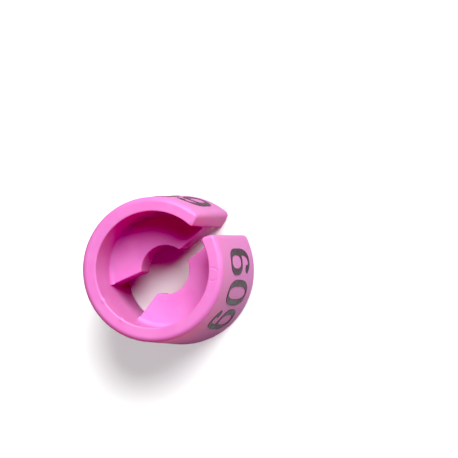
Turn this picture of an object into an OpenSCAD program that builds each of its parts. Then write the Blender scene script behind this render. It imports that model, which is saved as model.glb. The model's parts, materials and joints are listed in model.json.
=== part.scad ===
// Split marker band: a moulded sleeve with a gap down one side and a web inside that grips a leg
// or a rod. The band stands on its wide end, its bore along Z and its gap towards -Y. The wall
// opposite the gap is the living hinge, and the two halves swing apart about its edges.

/* [Sleeve] */
// Outer diameter at the wide end, where the band stands
base_d = 15; // [13:0.5:20]
// Height of the sleeve
band_h = 12.2; // [11:0.1:16]
// Draft of the outer wall, in degrees, narrowing upwards
draft_angle = 1.5; // [0:0.25:2]
// Inner diameter of the two recesses
recess_d = 11.5; // [9:0.1:11.6]
// Rounding of the outer rims
rim_round = 0.35; // [0.1:0.05:0.5]
// Rounding of the inner rims
lip_round = 0.12; // [0.05:0.01:0.2]

/* [Gap] */
// Width of the gap at the inside of the wall
gap_in_w = 1.3; // [1:0.1:2.4]
// Width of the gap at the outside of the wall
gap_out_w = 2.4; // [2.4:0.1:4]
// How far the gap sits to the right of the slot
gap_shift = 0.15; // [0:0.05:0.3]
// Bevel on the outer corners of the gap
tip_bevel = 0.3; // [0.1:0.05:0.5]

/* [Grip web] */
// Height of the web's lower face
web_z = 3.7; // [2:0.1:5]
// Thickness of the web
web_t = 3.3; // [2:0.1:4]
// Diameter of the gripping bore
grip_d = 4.9; // [4:0.1:6]
// Width of the slot from the bore to the gap
slot_w = 1.4; // [0.8:0.1:1.6]
// Width of the relief where it opens out of the bore
relief_in_w = 2.7; // [2:0.1:3]
// Width of the relief where it meets the wall
relief_out_w = 4.4; // [3.6:0.1:5]

/* [Living hinge] */
// Angle of the flexing wall to each side of its middle
hinge_half_angle = 12; // [8:1:16]
// Angle left clear at each edge of the flexing wall
hinge_clear_angle = 0.3; // [0.2:0.05:0.6]

/* [Number] */
// Height of the digits
digit_h = 6.6; // [4:0.1:7]
// Width of one digit
digit_w = 2.7; // [2:0.1:2.8]
// Height of the number's middle above the wide end
number_z = 5.5; // [5:0.1:7]
// Angle from the gap to the middle of each number
number_angle = 57; // [55:1:65]
// Angle from one digit to the next
digit_pitch_angle = 23.5; // [23:0.5:25]
// Thickness of the ink
ink_t = 0.06; // [0.05:0.01:0.1]

/* [Hidden] */
$fn = 96;

base_r = base_d / 2;
top_r = base_r - band_h * tan(draft_angle);
recess_r = recess_d / 2;
grip_r = grip_d / 2;
past = 1;                    // how far a cutter runs past what it cuts
round_steps = 4;             // straight steps in each rounded edge

gap_angle = -90;             // direction of the gap, seen from above
back_angle = 90;             // direction of the middle of the living hinge
half_sweep = back_angle - hinge_half_angle - gap_angle;

pink = [0.97, 0.55, 0.87];
web_pink = [0.98, 0.49, 0.87];
hinge_pink = [0.90, 0.50, 0.80];
ink_black = [0.16, 0.03, 0.06];

// Stroke sizes of a digit
thick_stroke = 0.25 * digit_w;
thin_stroke = 0.06 * digit_h;
bowl_h = 0.62 * digit_h;     // height of the closed bowl of a six
ball_r = 0.16 * digit_w;     // ball at the end of a six's tail
squareness = 2.5;            // 2 draws an ellipse, more squares it up
oval_steps = 40;             // straight steps around one oval
ink_depth = 3;               // how far a digit reaches in before the wall trims it

// Points of a quarter round about [cx, cy], from one direction to the other
function arc_points(cx, cy, r, from, to) =
    [for (i = [0 : round_steps]) let (a = from + (to - from) * i / round_steps)
        [cx + r * cos(a), cy + r * sin(a)]];

// Half section of the wall, with its rims rounded
function wall_section() = concat(
    arc_points(recess_r + lip_round, lip_round, lip_round, 180, 270),
    arc_points(base_r - rim_round, rim_round, rim_round, 270, 360),
    arc_points(top_r - rim_round, band_h - rim_round, rim_round, 0, 90),
    arc_points(recess_r + lip_round, band_h - lip_round, lip_round, 90, 180)
);

// A closed oval with squared shoulders
function oval_points(half_w, half_h) =
    [for (i = [0 : oval_steps - 1]) let (a = 360 * i / oval_steps, c = cos(a), s = sin(a))
        [half_w * sign(c) * pow(abs(c), 2 / squareness),
         half_h * sign(s) * pow(abs(s), 2 / squareness)]];

// A stretch of the wall, swept from one angle over another
module wall_stretch(from, sweep) {
    rotate_extrude(angle = sweep, start = from) polygon(wall_section());
}

// The flared gap through the wall, with bevelled outer corners
module gap_cut(shift) {
    mouth_y = -(top_r - tip_bevel);
    half_in = gap_in_w / 2 + shift;
    half_out = gap_out_w / 2 + shift;
    half_mouth = half_out + tip_bevel + past;
    translate([0, 0, -past]) linear_extrude(band_h + 2 * past) polygon([
        [half_in, past - recess_r], [half_in, -recess_r + lip_round],
        [half_out, mouth_y], [half_mouth, mouth_y - tip_bevel - past],
        [-half_mouth, mouth_y - tip_bevel - past], [-half_out, mouth_y],
        [-half_in, -recess_r + lip_round], [-half_in, past - recess_r]
    ]);
}

// The side wall from the gap round to the living hinge
module shell_half(shift) {
    difference() {
        wall_stretch(gap_angle, half_sweep - hinge_clear_angle);
        gap_cut(shift);
    }
}

// The inner web from the slot round to the relief
module web_half() {
    relief_in_y = sqrt(pow(grip_r, 2) - pow(relief_in_w / 2, 2));
    relief_out_y = sqrt(pow(recess_r, 2) - pow(relief_out_w / 2, 2));
    slope = (relief_out_w - relief_in_w) / 2 / (relief_out_y - relief_in_y);
    reach = recess_r + past;
    translate([0, 0, web_z]) difference() {
        intersection() {
            cylinder(h = web_t, r = recess_r);
            translate([0, 0, -past]) linear_extrude(web_t + 2 * past) polygon([
                [slot_w / 2, -reach], [reach, -reach], [reach, reach],
                [relief_in_w / 2 + slope * (reach - relief_in_y), reach],
                [relief_in_w / 2 - slope * relief_in_y, 0], [slot_w / 2, 0]
            ]);
        }
        translate([0, 0, -past]) cylinder(h = web_t + 2 * past, r = grip_r);
    }
}

module zero() {
    difference() {
        polygon(oval_points(digit_w / 2, digit_h / 2));
        polygon(oval_points(digit_w / 2 - thick_stroke, digit_h / 2 - thin_stroke));
    }
}

module six() {
    bowl_y = (bowl_h - digit_h) / 2;
    tail_y = digit_h / 2 - 2.2 * ball_r;
    difference() {
        zero();
        translate([0, bowl_y]) square([digit_w, tail_y - bowl_y]);
    }
    translate([0, bowl_y]) difference() {
        polygon(oval_points(digit_w / 2, bowl_h / 2));
        polygon(oval_points(digit_w / 2 - thick_stroke, bowl_h / 2 - thin_stroke));
    }
    translate([digit_w / 2 - ball_r - thin_stroke / 2, tail_y]) circle(r = ball_r);
}

// One digit as a block that points out of the wall at an angle
module digit_block(angle) {
    rotate([0, 0, angle - gap_angle]) translate([0, ink_depth - base_r - past, number_z])
        rotate([90, 0, 0]) linear_extrude(ink_depth) children();
}

// The number six zero nine, which reads the same from either end of the band
module number(middle) {
    intersection() {
        difference() {
            cylinder(h = band_h, r1 = base_r + ink_t, r2 = top_r + ink_t);
            cylinder(h = band_h, r1 = base_r, r2 = top_r);
        }
        union() {
            digit_block(middle - digit_pitch_angle) six();
            digit_block(middle) zero();
            digit_block(middle + digit_pitch_angle) rotate(180) six();
        }
    }
}

module hinge_wall() {
    color(hinge_pink) wall_stretch(back_angle - hinge_half_angle, 2 * hinge_half_angle);
}

module right_shell() {
    color(pink) shell_half(gap_shift);
}

module left_shell() {
    color(pink) mirror([1, 0, 0]) shell_half(-gap_shift);
}

module right_web() {
    color(web_pink) web_half();
}

module left_web() {
    color(web_pink) mirror([1, 0, 0]) web_half();
}

module right_number() {
    color(ink_black) number(gap_angle + number_angle);
}

module left_number() {
    color(ink_black) number(gap_angle - number_angle);
}

hinge_wall();
right_shell();
left_shell();
right_web();
left_web();
right_number();
left_number();
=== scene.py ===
import json
import math
import bpy
import bmesh
from mathutils import Matrix, Vector


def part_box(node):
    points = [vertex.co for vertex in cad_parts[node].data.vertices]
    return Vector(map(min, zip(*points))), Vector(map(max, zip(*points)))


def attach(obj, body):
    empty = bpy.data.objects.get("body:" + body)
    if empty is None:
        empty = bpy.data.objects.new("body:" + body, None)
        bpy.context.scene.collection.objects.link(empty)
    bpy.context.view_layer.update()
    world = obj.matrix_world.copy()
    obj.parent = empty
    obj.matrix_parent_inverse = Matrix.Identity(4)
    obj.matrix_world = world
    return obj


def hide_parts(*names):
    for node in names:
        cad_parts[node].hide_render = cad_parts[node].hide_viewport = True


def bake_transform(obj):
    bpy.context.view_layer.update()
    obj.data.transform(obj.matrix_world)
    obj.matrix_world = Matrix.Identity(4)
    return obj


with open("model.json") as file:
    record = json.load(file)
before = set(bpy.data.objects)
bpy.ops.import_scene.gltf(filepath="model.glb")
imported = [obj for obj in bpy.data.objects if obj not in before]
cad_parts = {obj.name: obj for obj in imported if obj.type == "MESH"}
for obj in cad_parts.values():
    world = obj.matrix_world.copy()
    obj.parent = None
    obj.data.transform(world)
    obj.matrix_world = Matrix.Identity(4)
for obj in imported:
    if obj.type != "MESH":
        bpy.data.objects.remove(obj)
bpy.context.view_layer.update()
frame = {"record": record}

# Sizes in the dictionaries below are in millimetres and degrees. Meshes are made in metres.
mm = 0.001
shellLow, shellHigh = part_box("right_shell")
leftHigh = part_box("left_shell")[1]
webLow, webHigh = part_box("right_web")
mounts = {m["name"]: m for m in frame["record"]["mounts"]}

# What the frame says: radii, heights and half widths
bandHeight = shellHigh.z / mm
baseRadius = shellHigh.x / mm
rightGap = shellLow.x / mm
leftGap = -leftHigh.x / mm
recessRadius = webHigh.x / mm
slotHalf = webLow.x / mm
webBottom = webLow.z / mm
webTop = webHigh.z / mm
boreRadius = mounts["grip_bore"]["dims"]["r_mm"]
print("frame read: band", round(bandHeight, 2), "mm high,", round(2 * baseRadius, 2), "mm across")


# The camera
cameraSize = {
    "distance": 605.32,      # from the middle of the narrow end
    "bearing": -128.94,      # round the bore's axis
    "offAxis": 14.776,       # away from straight above
    "roll": -1.073,
    "aimRight": 0.721,       # the band stands left of the middle of the view
    "aimUp": 0.3781,         # and below it
    "lens": 481.93,
    "sensor": 36.0,
    "nearest": 10.0,         # what is nearer than this or farther than the next isn't drawn
    "farthest": 10000.0,
}


def makeCamera():
    size = cameraSize
    bearing = math.radians(size["bearing"])
    offAxis = math.radians(size["offAxis"])
    roll = math.radians(size["roll"])
    right = math.radians(size["aimRight"])
    lift = math.radians(size["aimUp"])
    back = Vector((math.cos(bearing) * math.sin(offAxis), math.sin(bearing) * math.sin(offAxis),
                   math.cos(offAxis)))
    level = Vector((-math.sin(bearing), math.cos(bearing), 0))
    up = level * math.cos(roll) - back.cross(level) * math.sin(roll)
    side = up.cross(back)
    place = Vector((0, 0, bandHeight)) + back * size["distance"]
    # turn the view right, then up
    turnedSide = side * math.cos(right) + back * math.sin(right)
    turnedBack = back * math.cos(right) - side * math.sin(right)
    liftedUp = up * math.cos(lift) + turnedBack * math.sin(lift)
    liftedBack = turnedBack * math.cos(lift) - up * math.sin(lift)
    data = bpy.data.cameras.new("camera")
    data.lens = size["lens"]
    data.sensor_width = size["sensor"]
    data.clip_start = size["nearest"] * mm
    data.clip_end = size["farthest"] * mm
    camera = bpy.data.objects.new("camera", data)
    bpy.context.scene.collection.objects.link(camera)
    turn = Matrix((turnedSide, liftedUp, liftedBack)).transposed().to_4x4()
    camera.matrix_world = Matrix.Translation(place * mm) @ turn
    bpy.context.scene.camera = camera
    return side, up


viewSide, viewUp = makeCamera()
print("camera placed")


# Shapes shared by the pieces
def onCircle(radius, angle):
    # the angle runs from the gap round to the back of the band
    turn = math.radians(angle)
    return Vector((radius * math.sin(turn), -radius * math.cos(turn)))


def smooth(low, high, value):
    t = min(1.0, max(0.0, (value - low) / (high - low)))
    return t * t * (3 - 2 * t)


def curvePoint(a, corner, b, t):
    return a * (1 - t) ** 2 + corner * 2 * t * (1 - t) + b * t ** 2


def spread(a, b, count):
    return [a + (b - a) * i / count for i in range(count + 1)]


def keepRest(mesh):
    # where each point stands before any pose, in millimetres, for the finishes to read
    rest = mesh.attributes.new("rest", "FLOAT_VECTOR", "POINT")
    for i, vertex in enumerate(mesh.vertices):
        rest.data[i].vector = vertex.co / mm


def makeObject(name, points, faces, mirrored, sharpAngle=50, mergeGap=0.0002):
    mesh = bpy.data.meshes.new(name)
    side = -1 if mirrored else 1
    mesh.from_pydata([(side * p[0] * mm, p[1] * mm, p[2] * mm) for p in points], [], faces)
    built = bmesh.new()
    built.from_mesh(mesh)
    bmesh.ops.remove_doubles(built, verts=built.verts, dist=mergeGap * mm)
    bmesh.ops.recalc_face_normals(built, faces=built.faces)
    limit = math.radians(sharpAngle)
    for face in built.faces:
        face.smooth = True
    for edge in built.edges:
        if len(edge.link_faces) == 2:
            edge.smooth = edge.calc_face_angle() < limit
    built.to_mesh(mesh)
    built.free()
    keepRest(mesh)
    obj = bpy.data.objects.new(name, mesh)
    bpy.context.scene.collection.objects.link(obj)
    weighted = obj.modifiers.new("faceWeights", "WEIGHTED_NORMAL")
    weighted.keep_sharp = True
    return obj


# The wall: one half from the gap round to the middle of the hinge
wallSize = {
    "draft": 1.5,            # the outside narrows upwards
    "flare": 21.0,           # of the gap's faces
    "innerCorners": (0.32, 0.55),    # cut back from each tip's inner corner, right then left
    "outerCorner": 0.5,      # and from its outer corner
    "lipRound": 0.16,        # roundings of the ends: on the inside, at the tips and outside
    "tipRound": 0.28,
    "rimRound": 0.5,
    "markPlace": (-4.15, -4.53),     # ejector mark on the narrow end
    "markRadius": 0.65,
    "markWidth": 0.1,
    "markDepth": 0.035,
    "nibAngles": (174, 160),         # flash left on the lip, right half then left half
    "nibSpread": 2.2,
    "nibHeight": 0.1,
    "nibTop": 0.6,           # share of that height by which it stands above the lip
    "nibFall": 6,            # how fast it dies away across the end
    "arcSteps": 260,
    "endSteps": 20,
    "cornerSteps": 8,
    "faceSteps": 3,
    "roundSteps": 6,
    "heightSteps": 24,
    "blendSteps": 6,         # steps beside the tip in which one rounding turns into the next
}


def wallOutline(radius, gap, innerCut):
    # inner side from the seam to the tip, then the outer side back to the seam
    size = wallSize
    innerAngle = math.degrees(math.asin(gap / recessRadius))
    innerCorner = onCircle(recessRadius, innerAngle)
    flare = math.radians(size["flare"])
    along = Vector((math.sin(flare), -math.cos(flare)))
    half = innerCorner.dot(along)
    reach = -half + math.sqrt(half * half - innerCorner.length_squared + radius * radius)
    outerCorner = innerCorner + along * reach
    outerAngle = math.degrees(math.atan2(outerCorner.x, -outerCorner.y))
    innerFirst = innerAngle + math.degrees(innerCut / recessRadius)
    outerCut = outerAngle + math.degrees(size["outerCorner"] / radius)
    middle = innerCorner + along * (innerCut + reach - size["outerCorner"]) / 2
    inner = [onCircle(recessRadius, a) for a in spread(180, innerFirst, size["arcSteps"])]
    start = inner[-1]
    end = innerCorner + along * innerCut
    inner += [curvePoint(start, innerCorner, end, t) for t in spread(0, 1, size["cornerSteps"])[1:]]
    inner += [end + (middle - end) * t for t in spread(0, 1, size["faceSteps"])[1:]]
    start = outerCorner - along * size["outerCorner"]
    end = onCircle(radius, outerCut)
    outer = [middle + (start - middle) * t for t in spread(0, 1, size["faceSteps"])[:-1]]
    outer += [curvePoint(start, outerCorner, end, t) for t in spread(0, 1, size["cornerSteps"])]
    outer += [onCircle(radius, a) for a in spread(outerCut, 180, size["arcSteps"])[1:]]
    return inner, outer


def outlineNormals(points):
    normals = []
    last = len(points) - 1
    for i in range(last + 1):
        along = (points[min(i + 1, last)] - points[max(i - 1, 0)]).normalized()
        normals.append(Vector((along.y, -along.x)))
    normals[0] = Vector((0, -1))
    normals[last] = Vector((0, 1))
    return normals


def roundRows(roundSteps, heightSteps):
    # each row: how much of the rounding's inset, of its height, and which end it belongs to
    rows = []
    for a in spread(90, 0, roundSteps):
        turn = math.radians(a)
        rows.append((1 - math.cos(turn), 1 - math.sin(turn), 0.0))
    for s in spread(0, 1, heightSteps)[1:-1]:
        rows.append((0.0, 1.0, s))
    for a in spread(0, 90, roundSteps):
        turn = math.radians(a)
        rows.append((1 - math.cos(turn), 1 - math.sin(turn), 1.0))
    return rows


def endDip(x, y):
    # the ejector mark, a shallow ring pressed into the narrow end
    size = wallSize
    away = math.hypot(x - size["markPlace"][0], y - size["markPlace"][1]) - size["markRadius"]
    return size["markDepth"] * (1 - smooth(0, size["markWidth"], abs(away)))


def makeWall(name, mirrored):
    size = wallSize
    side = -1 if mirrored else 1
    nibAngle = size["nibAngles"][1 if mirrored else 0]
    topRadius = baseRadius - bandHeight * math.tan(math.radians(size["draft"]))
    gap = leftGap if mirrored else rightGap
    innerCut = size["innerCorners"][1 if mirrored else 0]
    innerBase, outerBase = wallOutline(baseRadius, gap, innerCut)
    innerTop, outerTop = wallOutline(topRadius, gap, innerCut)
    base = innerBase + outerBase
    top = innerTop + outerTop
    baseNormals = outlineNormals(base)
    topNormals = outlineNormals(top)
    half = len(innerBase)
    count = 2 * half
    # the rounding of the end faces grows from the lip to the rim across the tip
    tipSteps = size["faceSteps"] + size["cornerSteps"] + size["blendSteps"]
    rounds = []
    for i in range(count):
        if i < half:
            near = smooth(size["arcSteps"] - size["blendSteps"], half - 1, i)
            rounds.append(size["lipRound"] + (size["tipRound"] - size["lipRound"]) * near)
        else:
            far = smooth(0, tipSteps, i - half)
            rounds.append(size["tipRound"] + (size["rimRound"] - size["tipRound"]) * far)
    points = []
    rows = roundRows(size["roundSteps"], size["heightSteps"])
    for inset, lift, s in rows:
        for i in range(count):
            low = rounds[i] * lift
            z = low + (bandHeight - 2 * low) * s
            share = z / bandHeight
            flat = base[i].lerp(top[i], share)
            normal = baseNormals[i].lerp(topNormals[i], share)
            flat = flat - normal * rounds[i] * inset
            if i < half and s == 1:
                angle = math.degrees(math.atan2(flat.x, -flat.y))
                nib = size["nibHeight"] * math.exp(-((angle - nibAngle) / size["nibSpread"]) ** 2)
                flat = flat + normal * nib * (1 - inset)
                z += nib * inset * size["nibTop"]
            points.append((flat.x, flat.y, z))
    faces = []
    for k in range(len(rows) - 1):
        a = k * count
        b = a + count
        for i in range(count - 1):
            faces.append((a + i, a + i + 1, b + i + 1, b + i))
        faces.append((a + count - 1, a, b, b + count - 1))
    ends = (0, (len(rows) - 1) * count)
    for a in ends:
        columns = []
        for i in range(half):
            inner = Vector(points[a + i])
            outer = Vector(points[a + count - 1 - i])
            column = [a + i]
            for share in spread(0, 1, size["endSteps"])[1:-1]:
                p = inner.lerp(outer, share)
                z = outer.z + (inner.z - outer.z) * (1 - share) ** size["nibFall"]
                if a == ends[1]:
                    z -= endDip(side * p.x, p.y)
                column.append(len(points))
                points.append((p.x, p.y, z))
            column.append(a + count - 1 - i)
            columns.append(column)
        for near, far in zip(columns, columns[1:]):
            for j in range(size["endSteps"]):
                faces.append((near[j], far[j], far[j + 1], near[j + 1]))
    return makeObject(name, points, faces, mirrored)


rightWall = makeWall("rightWall", False)
leftWall = makeWall("leftWall", True)
print("walls made:", len(rightWall.data.polygons), "faces each")


# The web: one half from the slot round to the relief
webSize = {
    "reliefInner": 1.35,     # half width of the relief at the bore
    "reliefOuter": 2.2,      # and at the wall
    "slotMouth": 0.28,       # how far the slot opens out where it meets the tip
    "slotWidens": (0.6, 1.1),    # from where to where along the slot, one being the wall
    "corner": 0.14,
    "edgeRound": 0.11,
    "fillet": 0.42,          # where the web meets the wall
    "filletSink": 0.01,      # how far the fillet's edge goes into the wall
    "rootDepth": 0.1,        # how far the web does
    "arcSteps": 64,
    "sideSteps": 18,
    "cornerSteps": 4,
    "roundSteps": 5,
    "heightSteps": 8,
}


def webSides():
    # four sides, each with half of the corner at both its ends, all with the web on one hand
    size = webSize
    slotInner = math.degrees(math.asin(slotHalf / boreRadius))
    reliefInner = 180 - math.degrees(math.asin(size["reliefInner"] / boreRadius))
    slotOuter = math.degrees(math.asin((slotHalf + size["slotMouth"]) / recessRadius))
    reliefOuter = 180 - math.degrees(math.asin(size["reliefOuter"] / recessRadius))

    def bore(t):
        return onCircle(boreRadius, slotInner + (reliefInner - slotInner) * t)

    def wall(t):
        return onCircle(recessRadius, slotOuter + (reliefOuter - slotOuter) * t)

    def slot(t):
        p = bore(0).lerp(wall(0), t)
        return Vector((slotHalf + size["slotMouth"] * smooth(*size["slotWidens"], t), p.y))

    def relief(t):
        return bore(1).lerp(wall(1), t)

    def side(curve, length, steps, startCut, endCut):
        first = startCut / length
        last = 1 - endCut / length
        return [curve(t) for t in spread(first, last, steps)]

    cut = size["corner"]
    boreLength = math.radians(reliefInner - slotInner) * boreRadius
    sideLength = recessRadius - boreRadius
    sides = {
        "bore": side(bore, boreLength, size["arcSteps"], cut, cut),
        "relief": side(relief, sideLength, size["sideSteps"], cut, 0),
        "slot": side(slot, sideLength, size["sideSteps"], cut, 0),
    }
    steps = size["cornerSteps"]
    for corner, second in ((bore(0), "slot"), (bore(1), "relief")):
        atStart = second == "slot"
        a = sides["bore"][0 if atStart else -1]
        b = sides[second][0]
        arc = [curvePoint(a, corner, b, t) for t in spread(0, 1, 2 * steps)]
        boreHalf = arc[1:steps + 1]
        sideHalf = arc[steps:-1]
        sides["bore"] = boreHalf[::-1] + sides["bore"] if atStart else sides["bore"] + boreHalf
        sides[second] = sideHalf + sides[second]
    # the wall side has as many points as the bore side
    total = len(sides["bore"]) - 1
    sides["wall"] = [wall(t) for t in spread(0, 1, total)]
    return sides


def coons(sides, s, t, i, j):
    # a point of the flat face, blended from its four edges
    a, b, c, d = sides["bore"], sides["relief"], sides["wall"], sides["slot"]
    edge = a[i] * (1 - t) + c[i] * t + d[j] * (1 - s) + b[j] * s
    corners = a[0] * (1 - s) * (1 - t) + a[-1] * s * (1 - t) + c[0] * (1 - s) * t + c[-1] * s * t
    return edge - corners


def makeWeb(name, mirrored):
    size = webSize
    sides = webSides()
    across = len(sides["bore"]) - 1
    along = len(sides["relief"]) - 1
    loop = sides["bore"] + sides["relief"][1:] + sides["wall"][-2::-1] + sides["slot"][-2:0:-1]
    count = len(loop)
    wallFirst = across + along
    wallLast = wallFirst + across
    normals = []
    for i in range(count):
        step = (loop[(i + 1) % count] - loop[i - 1]).normalized()
        normals.append(Vector((-step.y, step.x)))
    for i in range(wallFirst, wallLast + 1):
        normals[i] = loop[i].normalized()
    steps = size["roundSteps"]
    rows = roundRows(steps, size["heightSteps"])
    thickness = webTop - webBottom
    points = []
    for k, (inset, lift, s) in enumerate(rows):
        for i in range(count):
            low = size["edgeRound"] * lift
            freeOut = -size["edgeRound"] * inset
            freeUp = low + (thickness - 2 * low) * s
            if k <= steps or k >= len(rows) - 1 - steps:
                turn = math.acos(min(1.0, 1 - inset))
                rootOut = size["fillet"] * (math.cos(turn) - 1) + size["filletSink"]
                drop = size["fillet"] * (1 - math.sin(turn))
                rootUp = -drop if s == 0 else thickness + drop
            else:
                rootOut = size["rootDepth"]
                rootUp = thickness * s
            root = 1.0 if wallFirst <= i <= wallLast else 0.0
            out = freeOut + (rootOut - freeOut) * root
            up = freeUp + (rootUp - freeUp) * root
            flat = loop[i] + normals[i] * out
            points.append((flat.x, flat.y, webBottom + up))
    faces = []
    for k in range(len(rows) - 1):
        a = k * count
        b = a + count
        for i in range(count):
            n = (i + 1) % count
            faces.append((a + i, a + n, b + n, b + i))
    # the two flat faces, filled from their own edges
    for row in (0, len(rows) - 1):
        ring = [Vector(points[row * count + i][:2]) for i in range(count)]
        z = points[row * count][2]
        edge = {
            "bore": ring[:across + 1],
            "relief": ring[across:across + along + 1],
            "wall": ring[wallFirst:wallLast + 1][::-1],
            "slot": [ring[0]] + ring[:wallLast - 1:-1],
        }
        first = len(points)
        for j in range(along + 1):
            for i in range(across + 1):
                p = coons(edge, i / across, j / along, i, j)
                points.append((p.x, p.y, z))
        wide = across + 1
        for j in range(along):
            for i in range(across):
                a = first + j * wide + i
                faces.append((a, a + 1, a + wide + 1, a + wide))
    return makeObject(name, points, faces, mirrored)


rightWeb = makeWeb("rightWeb", False)
leftWeb = makeWeb("leftWeb", True)
print("webs made:", len(rightWeb.data.polygons), "faces each")


# Nodes shared by the trees
def addNode(tree, kind, **settings):
    node = tree.nodes.new(kind)
    for name, value in settings.items():
        setattr(node, name, value)
    return node


def feed(tree, socket, value):
    # an input takes a link from another node or a value of its own
    if isinstance(value, bpy.types.NodeSocket):
        tree.links.new(value, socket)
    else:
        socket.default_value = value


def calculate(tree, operation, *values):
    node = addNode(tree, "ShaderNodeMath", operation=operation)
    for socket, value in zip(node.inputs, values):
        feed(tree, socket, value)
    return node.outputs[0]


def vectorMath(tree, operation, *values):
    node = addNode(tree, "ShaderNodeVectorMath", operation=operation)
    for socket, value in zip(node.inputs, values):
        feed(tree, socket, value)
    return node.outputs


def addInputs(tree, kind, *names):
    for name in names:
        tree.interface.new_socket(name, in_out="INPUT", socket_type="NodeSocket" + kind)


def addOutputs(tree, kind, *names):
    for name in names:
        tree.interface.new_socket(name, in_out="OUTPUT", socket_type="NodeSocket" + kind)


# The numbers: flat strokes laid round the wall
numberLow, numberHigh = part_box("right_number")
numberSize = {
    "height": (numberHigh.z - numberLow.z) / mm,
    "middle": (numberHigh.z + numberLow.z) / 2 / mm,
    "width": 2.7,
    "thick": 0.68,           # upright strokes
    "thin": 0.4,             # level strokes
    "bowl": 0.62,            # share of the height taken by the closed bowl of a six
    "tail": (48, 195),       # where the tail starts and ends on its oval
    "ball": 0.43,            # radius of the ball at the end of a six's tail
    "ballDrop": 2.2,         # how many of its radii it hangs under the top
    "ballSteps": 24,
    "squareness": 2.5,       # two draws an ellipse, more squares it up
    "sink": 0.02,            # how far the ink starts inside the wall
    "rise": 0.045,           # how far it stands out of the wall
    "ragged": 0.035,         # how far an edge strays
    "raggedScale": 3.2,
    "raggedDetail": 2,
    "gap": 0.06,             # between points along an edge
    "mergeGap": 0.0005,
    "seeds": (11.0, 23.0),   # right then left
}


def oval(halfWide, halfTall, start=0.0, end=360.0, steps=72):
    power = 2 / numberSize["squareness"]
    points = []
    for a in spread(start, end, steps):
        c = math.cos(math.radians(a))
        s = math.sin(math.radians(a))
        x = halfWide * math.copysign(abs(c) ** power, c)
        y = halfTall * math.copysign(abs(s) ** power, s)
        points.append((x, y))
    return points


def zeroStrokes():
    size = numberSize
    wide = size["width"] / 2
    tall = size["height"] / 2
    return [[oval(wide, tall)[:-1], oval(wide - size["thick"], tall - size["thin"])[:-1]]]


def sixStrokes():
    # a closed bowl, a tail that runs over its left side, and the ball at the tail's end
    size = numberSize
    wide = size["width"] / 2
    tall = size["height"] / 2
    bowl = tall * size["bowl"]
    drop = bowl - tall
    rings = [oval(wide, bowl)[:-1], oval(wide - size["thick"], bowl - size["thin"])[:-1]]
    bowlLoops = [[(x, y + drop) for x, y in ring] for ring in rings]
    tail = oval(wide, tall, *size["tail"])
    tail += oval(wide - size["thick"], tall - size["thin"], *size["tail"])[::-1]
    ballX = wide - size["ball"] - size["thin"] / 2
    ballY = tall - size["ballDrop"] * size["ball"]
    turns = [math.radians(a) for a in spread(0, 360, size["ballSteps"])[:-1]]
    ball = [(ballX + size["ball"] * math.cos(t), ballY + size["ball"] * math.sin(t)) for t in turns]
    return [bowlLoops, [tail], [ball]]


def numberAngles():
    # the number's middle and the step between digits, as angles, and the wall's radius there
    size = numberSize
    radius = baseRadius - size["middle"] * math.tan(math.radians(wallSize["draft"]))
    first = math.degrees(math.acos(-numberLow.y / mm / radius))
    last = math.degrees(math.acos(-numberHigh.y / mm / radius))
    digit = 2 * math.degrees(math.asin(size["width"] / 2 / radius))
    return (first + last) / 2, (last - first - digit) / 2, radius


def flatNumber(name, step):
    # outlines of the three digits, laid flat a step apart
    six = sixStrokes()
    nine = [[[(-x, -y) for x, y in loop] for loop in stroke] for stroke in six]
    points = []
    edges = []
    strokes = []
    for place, digit in ((-step, six), (0, zeroStrokes()), (step, nine)):
        for stroke in digit:
            index = max(strokes, default=-1) + 1
            for loop in stroke:
                first = len(points)
                count = len(loop)
                points += [(x + place, y, 0) for x, y in loop]
                edges += [(first + i, first + (i + 1) % count) for i in range(count)]
                strokes += [index] * count
    mesh = bpy.data.meshes.new(name)
    mesh.from_pydata(points, edges, [])
    kept = mesh.attributes.new("stroke", "INT", "POINT")
    kept.data.foreach_set("value", strokes)
    obj = bpy.data.objects.new(name, mesh)
    bpy.context.scene.collection.objects.link(obj)
    return obj


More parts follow.
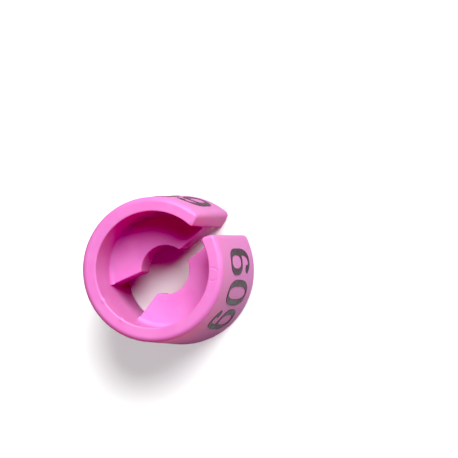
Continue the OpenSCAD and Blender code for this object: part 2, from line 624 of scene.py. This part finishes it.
def numberTree():
    # outlines, roughened, filled, thickened and wrapped round the drafted wall
    tree = bpy.data.node_groups.new("wrappedPrint", "GeometryNodeTree")
    tree.is_modifier = True
    addInputs(tree, "Geometry", "Geometry")
    addInputs(tree, "Float", "Middle Angle", "Middle Height", "Wall Radius", "Base Radius", "Narrowing",
              "Sink", "Rise", "Ragged", "Ragged Scale", "Point Gap", "Merge Gap", "Seed")
    addInputs(tree, "Material", "Ink")
    addOutputs(tree, "Geometry", "Geometry")
    given = addNode(tree, "NodeGroupInput").outputs
    link = tree.links.new

    curve = addNode(tree, "GeometryNodeMeshToCurve")
    link(given["Geometry"], curve.inputs["Mesh"])
    evened = addNode(tree, "GeometryNodeResampleCurve", mode="LENGTH")
    link(curve.outputs[0], evened.inputs["Curve"])
    link(given["Point Gap"], evened.inputs["Length"])

    place = addNode(tree, "GeometryNodeInputPosition").outputs[0]
    wobble = addNode(tree, "ShaderNodeTexNoise", noise_dimensions="4D")
    wobble.inputs["Detail"].default_value = numberSize["raggedDetail"]
    link(given["Ragged Scale"], wobble.inputs["Scale"])
    link(place, wobble.inputs["Vector"])
    link(given["Seed"], wobble.inputs["W"])
    centred = vectorMath(tree, "SUBTRACT", wobble.outputs["Color"], (0.5, 0.5, 0.5))
    shift = addNode(tree, "ShaderNodeVectorMath", operation="SCALE")
    link(centred[0], shift.inputs[0])
    link(given["Ragged"], shift.inputs["Scale"])
    level = vectorMath(tree, "MULTIPLY", shift.outputs[0], (1, 1, 0))
    rough = addNode(tree, "GeometryNodeSetPosition")
    link(evened.outputs[0], rough.inputs["Geometry"])
    link(level[0], rough.inputs["Offset"])

    stroke = addNode(tree, "GeometryNodeInputNamedAttribute", data_type="INT")
    stroke.inputs["Name"].default_value = "stroke"
    filled = addNode(tree, "GeometryNodeFillCurve", mode="TRIANGLES")
    link(rough.outputs[0], filled.inputs["Curve"])
    link(stroke.outputs["Attribute"], filled.inputs["Group ID"])

    thickness = calculate(tree, "ADD", given["Sink"], given["Rise"])
    upwards = addNode(tree, "ShaderNodeCombineXYZ")
    upwards.inputs["Z"].default_value = 1
    raised = addNode(tree, "GeometryNodeExtrudeMesh", mode="FACES")
    raised.inputs["Individual"].default_value = False
    link(filled.outputs[0], raised.inputs["Mesh"])
    link(upwards.outputs[0], raised.inputs["Offset"])
    link(thickness, raised.inputs["Offset Scale"])
    under = addNode(tree, "GeometryNodeFlipFaces")
    link(filled.outputs[0], under.inputs["Mesh"])
    both = addNode(tree, "GeometryNodeJoinGeometry")
    link(raised.outputs["Mesh"], both.inputs[0])
    link(under.outputs[0], both.inputs[0])
    closed = addNode(tree, "GeometryNodeMergeByDistance")
    link(both.outputs[0], closed.inputs["Geometry"])
    link(given["Merge Gap"], closed.inputs["Distance"])

    # across turns round the bore's axis, up follows the drafted wall, and out is away from the axis
    flat = addNode(tree, "ShaderNodeSeparateXYZ")
    link(place, flat.inputs[0])
    z = calculate(tree, "ADD", flat.outputs["Y"], given["Middle Height"])
    out = calculate(tree, "SUBTRACT", flat.outputs["Z"], given["Sink"])
    narrowed = calculate(tree, "MULTIPLY", z, given["Narrowing"])
    wall = calculate(tree, "SUBTRACT", given["Base Radius"], narrowed)
    radius = calculate(tree, "ADD", wall, out)
    swing = calculate(tree, "DIVIDE", flat.outputs["X"], given["Wall Radius"])
    turn = calculate(tree, "ADD", given["Middle Angle"], swing)
    x = calculate(tree, "MULTIPLY", radius, calculate(tree, "SINE", turn))
    forward = calculate(tree, "MULTIPLY", calculate(tree, "COSINE", turn), -1.0)
    y = calculate(tree, "MULTIPLY", radius, forward)
    bent = addNode(tree, "ShaderNodeCombineXYZ")
    for name, value in (("X", x), ("Y", y), ("Z", z)):
        link(calculate(tree, "MULTIPLY", value, mm), bent.inputs[name])
    wrapped = addNode(tree, "GeometryNodeSetPosition")
    link(closed.outputs[0], wrapped.inputs["Geometry"])
    link(bent.outputs[0], wrapped.inputs["Position"])
    single = addNode(tree, "GeometryNodeRealizeInstances")
    link(wrapped.outputs[0], single.inputs[0])
    inked = addNode(tree, "GeometryNodeSetMaterial")
    link(single.outputs[0], inked.inputs["Geometry"])
    link(given["Ink"], inked.inputs["Material"])
    result = addNode(tree, "NodeGroupOutput")
    link(inked.outputs[0], result.inputs[0])
    return tree


def makeNumber(name, tree, mirrored, ink):
    size = numberSize
    side = -1 if mirrored else 1
    middle, pitch, radius = numberAngles()
    flat = flatNumber(name + "Flat", math.radians(pitch) * radius)
    wrap = flat.modifiers.new("wrap", "NODES")
    wrap.node_group = tree
    values = {
        "Middle Angle": math.radians(side * middle),
        "Middle Height": size["middle"],
        "Wall Radius": radius,
        "Base Radius": baseRadius,
        "Narrowing": math.tan(math.radians(wallSize["draft"])),
        "Sink": size["sink"],
        "Rise": size["rise"],
        "Ragged": size["ragged"],
        "Ragged Scale": size["raggedScale"],
        "Point Gap": size["gap"],
        "Merge Gap": size["mergeGap"],
        "Seed": size["seeds"][1 if mirrored else 0],
        "Ink": ink,
    }
    for item in tree.interface.items_tree:
        if item.in_out == "INPUT" and item.name in values:
            wrap[item.identifier] = values[item.name]
    graph = bpy.context.evaluated_depsgraph_get()
    mesh = bpy.data.meshes.new_from_object(flat.evaluated_get(graph))
    mesh.name = name
    bpy.data.objects.remove(flat)
    keepRest(mesh)
    obj = bpy.data.objects.new(name, mesh)
    bpy.context.scene.collection.objects.link(obj)
    return obj


# The finishes
plasticSize = {
    "color": (0.93, 0.3, 0.8, 1),
    "patchColor": (0.945, 0.34, 0.83, 1),
    "patchScale": 0.45,
    "patchDetail": 2,
    "patchSeed": 1,
    "patchRange": (0.35, 0.65),      # where the noise turns from the first colour to the second
    "roughness": (0.35, 0.45),
    "roughRange": (0.3, 0.7),        # and where from the first roughness to the second
    "grainScale": 2.6,
    "grainDetail": 3,
    "grainSeed": 2,
    "grainHeight": 0.004,
    "ior": 1.5,
    "sheen": 0.18,
    "sheenRoughness": 0.4,
    "through": 0.35,                 # share of the light that passes through, and its colour
    "throughColor": (0.9, 0.015, 0.22, 1),
    "witnessWidth": 0.07,            # line inside the wall where the core pins met
    "witnessDepth": 0.022,
    "witnessStart": 4.2,             # how far behind the bore's axis it begins
    "witnessReach": 0.2,             # how far past the recess's radius it is still pressed
}
inkSize = {
    "color": (0.016, 0.003, 0.007, 1),
    "patchColor": (0.07, 0.014, 0.035, 1),   # where the ink lies thin
    "patchScale": 1.6,
    "patchDetail": 3,
    "patchSeed": 3,
    "patchRange": (0.45, 0.7),
    "roughness": (0.3, 0.45),
    "roughRange": (0.35, 0.7),
    "grainScale": 6.0,
    "grainDetail": 2,
    "grainSeed": 4,
    "grainHeight": 0.006,
    "ior": 1.5,
}


def noise(tree, place, scale, detail, seed):
    node = addNode(tree, "ShaderNodeTexNoise", noise_dimensions="4D")
    for name, value in (("Vector", place), ("Scale", scale), ("Detail", detail), ("W", seed)):
        feed(tree, node.inputs[name], value)
    return node.outputs["Fac"]


def remap(tree, value, low, high, toLow, toHigh):
    node = addNode(tree, "ShaderNodeMapRange", interpolation_type="SMOOTHSTEP")
    for name, given in (("Value", value), ("From Min", low), ("From Max", high), ("To Min", toLow),
                        ("To Max", toHigh)):
        feed(tree, node.inputs[name], given)
    return node.outputs["Result"]


def mixColors(tree, factor, a, b):
    node = addNode(tree, "ShaderNodeMix", data_type="RGBA")
    for index, value in ((0, factor), (6, a), (7, b)):
        feed(tree, node.inputs[index], value)
    return node.outputs[2]


def skinGroup():
    # patches of two colours and two roughnesses with a fine grain, for the plastic and for the ink
    group = bpy.data.node_groups.new("patchesAndGrain", "ShaderNodeTree")
    addInputs(group, "Vector", "Place")
    addInputs(group, "Color", "First Color", "Patch Color")
    addInputs(group, "Float", "Patch Scale", "Patch Detail", "Patch Seed", "Patch Low", "Patch High",
              "First Roughness", "Second Roughness", "Rough Low", "Rough High",
              "Grain Scale", "Grain Detail", "Grain Seed", "Grain Height")
    addOutputs(group, "Color", "Color")
    addOutputs(group, "Float", "Roughness", "Height")
    given = addNode(group, "NodeGroupInput").outputs
    place = given["Place"]
    patch = noise(group, place, given["Patch Scale"], given["Patch Detail"], given["Patch Seed"])
    share = remap(group, patch, given["Patch Low"], given["Patch High"], 0, 1)
    color = mixColors(group, share, given["First Color"], given["Patch Color"])
    rough = remap(group, patch, given["Rough Low"], given["Rough High"], given["First Roughness"],
                  given["Second Roughness"])
    grain = noise(group, place, given["Grain Scale"], given["Grain Detail"], given["Grain Seed"])
    height = calculate(group, "MULTIPLY", grain, given["Grain Height"])
    result = addNode(group, "NodeGroupOutput")
    for name, value in (("Color", color), ("Roughness", rough), ("Height", height)):
        group.links.new(value, result.inputs[name])
    return group


def witnessLine(tree, place):
    # level with the top of the web, inside the wall behind the relief
    size = plasticSize
    whole = addNode(tree, "ShaderNodeSeparateXYZ")
    tree.links.new(place, whole.inputs[0])
    offLine = calculate(tree, "ABSOLUTE", calculate(tree, "SUBTRACT", whole.outputs["Z"], webTop))
    line = remap(tree, offLine, 0, size["witnessWidth"], size["witnessDepth"], 0)
    behind = calculate(tree, "GREATER_THAN", whole.outputs["Y"], size["witnessStart"])
    flatPlace = vectorMath(tree, "MULTIPLY", place, (1, 1, 0))
    out = vectorMath(tree, "LENGTH", flatPlace[0])
    inside = calculate(tree, "LESS_THAN", out["Value"], recessRadius + size["witnessReach"])
    return calculate(tree, "MULTIPLY", line, calculate(tree, "MULTIPLY", behind, inside))


def finish(name, size, group, pressedLine=None):
    # a material that follows the piece's own rest positions
    material = bpy.data.materials.new(name)
    material.use_nodes = True
    tree = material.node_tree
    shader = tree.nodes["Principled BSDF"]
    shader.inputs["IOR"].default_value = size["ior"]
    place = addNode(tree, "ShaderNodeAttribute", attribute_name="rest").outputs["Vector"]
    skin = addNode(tree, "ShaderNodeGroup", node_tree=group)
    values = {
        "Place": place,
        "First Color": size["color"],
        "Patch Color": size["patchColor"],
        "Patch Scale": size["patchScale"],
        "Patch Detail": size["patchDetail"],
        "Patch Seed": size["patchSeed"],
        "Patch Low": size["patchRange"][0],
        "Patch High": size["patchRange"][1],
        "First Roughness": size["roughness"][0],
        "Second Roughness": size["roughness"][1],
        "Rough Low": size["roughRange"][0],
        "Rough High": size["roughRange"][1],
        "Grain Scale": size["grainScale"],
        "Grain Detail": size["grainDetail"],
        "Grain Seed": size["grainSeed"],
        "Grain Height": size["grainHeight"],
    }
    for label, value in values.items():
        feed(tree, skin.inputs[label], value)
    height = skin.outputs["Height"]
    if pressedLine:
        height = calculate(tree, "SUBTRACT", height, pressedLine(tree, place))
    bump = addNode(tree, "ShaderNodeBump")
    bump.inputs["Distance"].default_value = mm
    tree.links.new(height, bump.inputs["Height"])
    tree.links.new(skin.outputs["Color"], shader.inputs["Base Color"])
    tree.links.new(skin.outputs["Roughness"], shader.inputs["Roughness"])
    tree.links.new(bump.outputs["Normal"], shader.inputs["Normal"])
    return material


def makePlastic(group):
    size = plasticSize
    material = finish("pinkPlastic", size, group, witnessLine)
    tree = material.node_tree
    shader = tree.nodes["Principled BSDF"]
    shader.inputs["Sheen Weight"].default_value = size["sheen"]
    shader.inputs["Sheen Roughness"].default_value = size["sheenRoughness"]
    through = addNode(tree, "ShaderNodeBsdfTranslucent")
    through.inputs["Color"].default_value = size["throughColor"]
    mix = addNode(tree, "ShaderNodeMixShader")
    mix.inputs[0].default_value = size["through"]
    tree.links.new(shader.outputs[0], mix.inputs[1])
    tree.links.new(through.outputs[0], mix.inputs[2])
    tree.links.new(mix.outputs[0], tree.nodes["Material Output"].inputs["Surface"])
    return material


skin = skinGroup()
pinkPlastic = makePlastic(skin)
printInk = finish("printInk", inkSize, skin)
for piece in (rightWall, leftWall, rightWeb, leftWeb):
    piece.data.materials.append(pinkPlastic)
printTree = numberTree()
rightNumber = makeNumber("rightNumber", printTree, False, printInk)
leftNumber = makeNumber("leftNumber", printTree, True, printInk)
print("numbers printed:", len(leftNumber.data.polygons), "faces each")


# The floor
floorSize = {
    "half": 1500.0,
    "seen": 0.93,            # how pale the floor looks
    "thrown": 0.44,          # how much of the light it throws back on the band
    "roughness": 0.85,
    "gloss": 0.1,
}


def makeFloor():
    size = floorSize
    mesh = bpy.data.meshes.new("floor")
    half = size["half"] * mm
    mesh.from_pydata([(-half, -half, 0), (half, -half, 0), (half, half, 0), (-half, half, 0)], [],
                     [(0, 1, 2, 3)])
    floor = bpy.data.objects.new("floor", mesh)
    bpy.context.scene.collection.objects.link(floor)
    material = bpy.data.materials.new("paleFloor")
    material.use_nodes = True
    tree = material.node_tree
    shader = tree.nodes["Principled BSDF"]
    shader.inputs["Roughness"].default_value = size["roughness"]
    shader.inputs["Specular IOR Level"].default_value = size["gloss"]
    rays = addNode(tree, "ShaderNodeLightPath")
    thrown = (size["thrown"],) * 3 + (1,)
    seen = (size["seen"],) * 3 + (1,)
    pale = mixColors(tree, rays.outputs["Is Camera Ray"], thrown, seen)
    tree.links.new(pale, shader.inputs["Base Color"])
    floor.data.materials.append(material)
    return floor


floor = makeFloor()


# The lights
lightSize = {
    "keyPower": 6.8,
    "keySize": 0.46,         # lamp sizes and distances are in metres
    "keyDistance": 0.6,
    "keyUp": 0.65,           # along the view's up, for one upwards
    "keySide": 0.37,         # and to its right
    "fillPower": 4.2,
    "fillSize": 0.5,
    "fillDistance": 0.7,
    "fillUp": -1.3,
    "fillSide": -0.75,
    "sky": 0.07,             # light from all round
    "skySeen": 1.0,          # and how bright it looks past the floor's edge
    "black": 0.045,          # light this faint comes out black
}


def makeLamp(name):
    size = lightSize
    data = bpy.data.lights.new(name, "AREA")
    data.energy = size[name + "Power"]
    data.shape = "DISK"
    data.size = size[name + "Size"]
    lamp = bpy.data.objects.new(name, data)
    bpy.context.scene.collection.objects.link(lamp)
    aim = Vector((0, 0, 1)) + viewUp * size[name + "Up"] + viewSide * size[name + "Side"]
    aim.normalize()
    lamp.location = aim * size[name + "Distance"]
    lamp.rotation_mode = "QUATERNION"
    lamp.rotation_quaternion = aim.to_track_quat("Z", "Y")
    return lamp


def makeLights(floor):
    size = lightSize
    makeLamp("key")
    # the fill softens the shadow on the floor and leaves the band alone
    fill = makeLamp("fill")
    lit = bpy.data.collections.new("litByFill")
    lit.objects.link(floor)
    fill.light_linking.receiver_collection = lit
    world = bpy.data.worlds.new("studio")
    bpy.context.scene.world = world
    world.use_nodes = True
    tree = world.node_tree
    sky = tree.nodes["Background"]
    sky.inputs["Color"].default_value = (1, 1, 1, 1)
    rays = addNode(tree, "ShaderNodeLightPath")
    level = addNode(tree, "ShaderNodeMapRange")
    level.inputs["To Min"].default_value = size["sky"]
    level.inputs["To Max"].default_value = size["skySeen"]
    tree.links.new(rays.outputs["Is Camera Ray"], level.inputs["Value"])
    tree.links.new(level.outputs["Result"], sky.inputs["Strength"])
    view = bpy.context.scene.view_settings
    view.view_transform = "Standard"
    view.use_curve_mapping = True
    view.curve_mapping.black_level = (size["black"],) * 3
    view.curve_mapping.update()


makeLights(floor)
print("floor and lights set")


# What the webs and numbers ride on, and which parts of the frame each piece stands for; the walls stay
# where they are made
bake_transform(rightWall)
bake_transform(leftWall)
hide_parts("right_shell", "hinge_wall")
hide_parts("left_shell", "hinge_wall")
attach(rightWeb, "right_jaw")
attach(leftWeb, "left_jaw")
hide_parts("right_web")
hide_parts("left_web")
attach(rightNumber, "right_jaw")
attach(leftNumber, "left_jaw")
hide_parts("right_number")
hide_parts("left_number")
